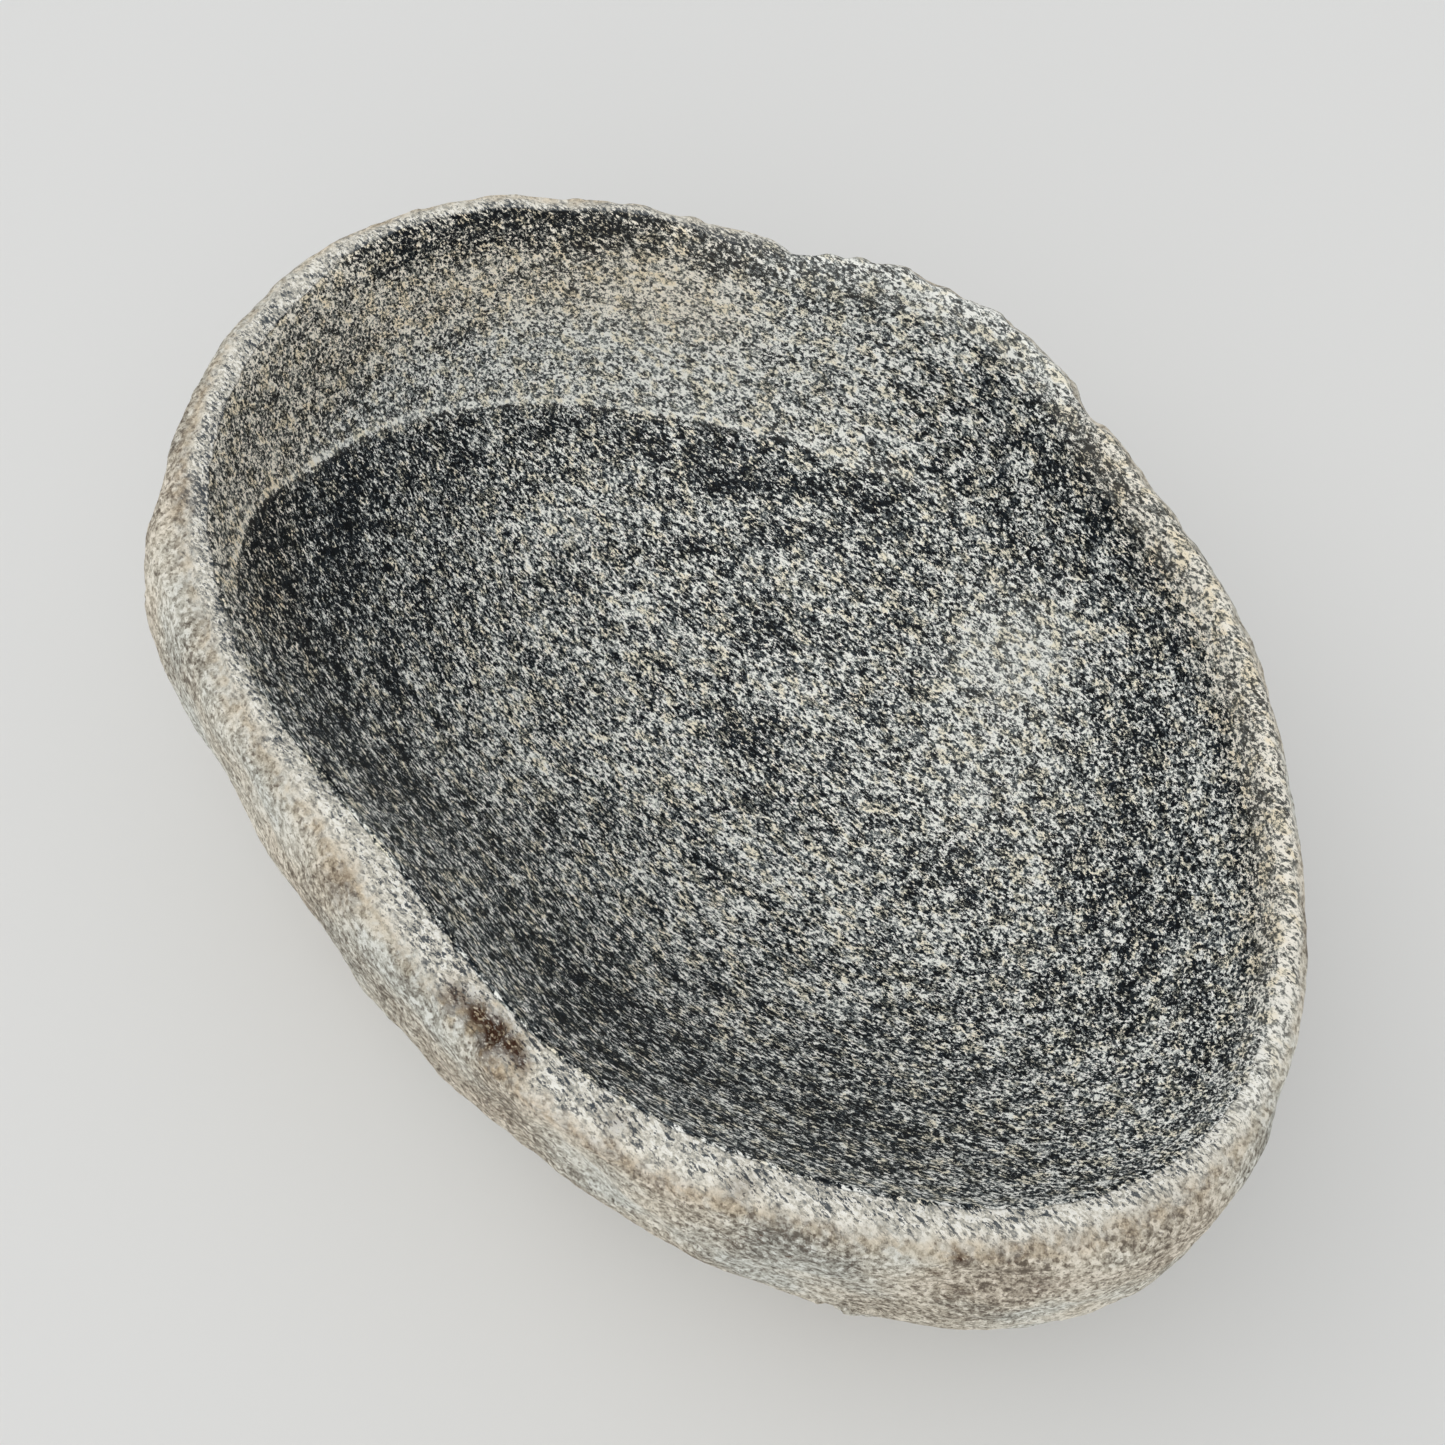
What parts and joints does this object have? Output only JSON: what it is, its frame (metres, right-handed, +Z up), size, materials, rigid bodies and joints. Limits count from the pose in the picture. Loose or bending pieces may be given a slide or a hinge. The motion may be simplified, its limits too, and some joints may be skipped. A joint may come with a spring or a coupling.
{
  "type": "granite boulder bowl",
  "caption": "Egg-shaped bowl hollowed out of a natural granite boulder, with a ground rim, a honed hollow and a flat foot.",
  "frame": {"origin": "middle of the bowl's length and width, on the plane that its foot rests on", "axes": "+Z up out of the hollow, +X along the length towards its blunter end"},
  "size_m": [0.4498, 0.3158, 0.146],
  "materials": {
    "granite": "matte"
  },
  "bodies": {
    "root": {"stone_bowl": "granite"}
  },
  "joints": []
}
